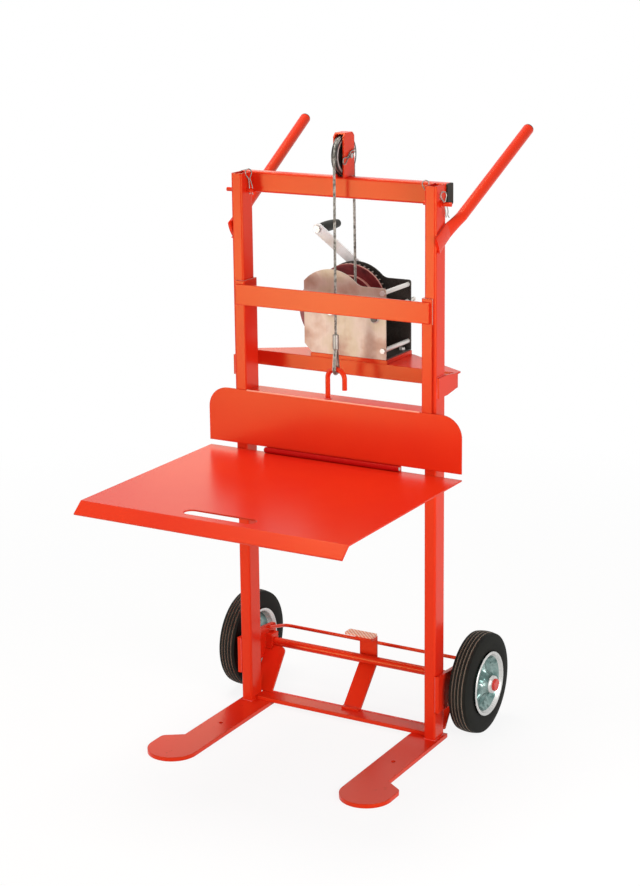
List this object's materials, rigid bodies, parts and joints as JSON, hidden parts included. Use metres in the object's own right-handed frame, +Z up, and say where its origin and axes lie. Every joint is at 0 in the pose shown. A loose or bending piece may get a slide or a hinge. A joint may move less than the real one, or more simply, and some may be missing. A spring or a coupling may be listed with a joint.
{
  "type": "lifting sack truck",
  "caption": "Two-wheeled lifting truck: two masts on flat feet, a hand winch on a rear shelf, and a rope-lifted carriage with a folding platform.",
  "frame": {"origin": "on the floor, under the middle of the outer size at rest", "axes": "+Z up along the masts, +X across the truck, -Y towards the platform's front edge"},
  "size_m": [0.751, 1.0052, 1.4588],
  "materials": {
    "red_paint": "gloss powder coat",
    "red_plastic": "gloss",
    "tread_steel": "raised tread pattern",
    "black_plastic": "satin",
    "bright_steel": "zinc plated",
    "zinc_yellow": "yellow zinc plated",
    "zinc_blue": "blue zinc plated",
    "wire_rope": "stranded wire",
    "nylon": "satin",
    "tyre_rubber": "moulded tread",
    "crimson_paint": "satin",
    "dark_steel": "oiled"
  },
  "bodies": {
    "frame": {"mast_left": "red_paint", "mast_right": "red_paint", "feet": "red_paint", "lower_crossbar": "red_paint", "axle_brackets": "red_paint", "side_struts": "red_paint", "axle": "red_paint", "axle_caps": "red_plastic", "centre_strap": "red_paint", "tread_plate": "tread_steel", "foot_bar": "red_paint", "top_crossbar": "red_paint", "crossbar_caps": "black_plastic", "locking_pins": "red_paint", "retaining_clips": "bright_steel", "handles": "red_paint", "handle_plugs": "black_plastic", "pulley_bracket": "red_paint", "pulley_pin": "bright_steel", "shelf_arms": "red_paint", "winch_shelf": "red_paint", "winch_pad": "red_paint", "winch_front_plate": "zinc_yellow", "winch_rear_plate": "zinc_yellow", "winch_base": "zinc_yellow", "winch_ties": "bright_steel", "mounting_bolts": "bright_steel", "drum_axle": "bright_steel", "rope_back_strand": "wire_rope"},
    "carriage": {"carriage_channels": "red_paint", "guide_pads": "nylon", "middle_bar": "red_paint", "back_plate": "red_paint", "cross_member": "red_paint", "lifting_hook": "red_paint", "rope_thimble": "bright_steel", "rope_ferrule": "bright_steel", "rope_front_strand": "wire_rope", "stop_plate": "red_paint", "hinge_pin": "bright_steel", "middle_knuckle": "red_paint"},
    "platform": {"platform": "red_paint", "platform_ribs": "red_paint", "end_knuckles": "red_paint"},
    "wheel_left": {"tyre_left": "tyre_rubber", "wheel_centre_left": "zinc_blue", "hub_bush_left": "nylon"},
    "wheel_right": {"tyre_right": "tyre_rubber", "wheel_centre_right": "zinc_blue", "hub_bush_right": "nylon"},
    "drum": {"drum": "crimson_paint", "drum_gear": "dark_steel", "rope_winding": "wire_rope"},
    "crank": {"pinion_shaft": "dark_steel", "brake_hub": "dark_steel", "crank_arm": "zinc_yellow", "crank_nut": "bright_steel", "grip_spindle": "bright_steel"},
    "grip": {"crank_grip": "black_plastic"},
    "pulley": {"pulley": "dark_steel"}
  },
  "joints": [
    {"name": "lift", "type": "slide", "parent": "frame", "child": "carriage", "axis": [0, 0, 1], "range_m": [-0.62, 0.19], "deforming": ["rope_front_strand"]},
    {"name": "platform_fold", "type": "hinge", "parent": "carriage", "child": "platform", "pos_m": [0, 0.06075, 0.684], "axis": [-1, 0, 0], "range_deg": [0, 90]},
    {"name": "wheel_left_roll", "type": "hinge", "parent": "frame", "child": "wheel_left", "pos_m": [-0.326, 0.20755, 0.125], "axis": [1, 0, 0], "continuous": true},
    {"name": "wheel_right_roll", "type": "hinge", "parent": "frame", "child": "wheel_right", "pos_m": [0.326, 0.20755, 0.125], "axis": [1, 0, 0], "continuous": true},
    {"name": "drum_spin", "type": "hinge", "parent": "frame", "child": "drum", "pos_m": [-0.06, 0.22755, 1.021], "axis": [0, 1, 0], "range_deg": [-565, 174]},
    {"name": "crank_spin", "type": "hinge", "parent": "frame", "child": "crank", "pos_m": [0.05966, 0.31755, 1.012], "axis": [0, 1, 0], "range_deg": [-693, 2257]},
    {"name": "pulley_spin", "type": "hinge", "parent": "frame", "child": "pulley", "pos_m": [0, 0.13755, 1.4043], "axis": [1, 0, 0], "range_deg": [-233, 757]},
    {"name": "grip_spin", "type": "hinge", "parent": "crank", "child": "grip", "pos_m": [-0.18149, 0.38755, 1.19045], "axis": [0, 1, 0], "continuous": true}
  ],
  "couplings": [
    {"joint": "drum_spin", "follows": "lift", "rad_per_m": 15.873},
    {"joint": "crank_spin", "follows": "lift", "rad_per_m": -63.492},
    {"joint": "pulley_spin", "follows": "lift", "rad_per_m": -21.277}
  ]
}
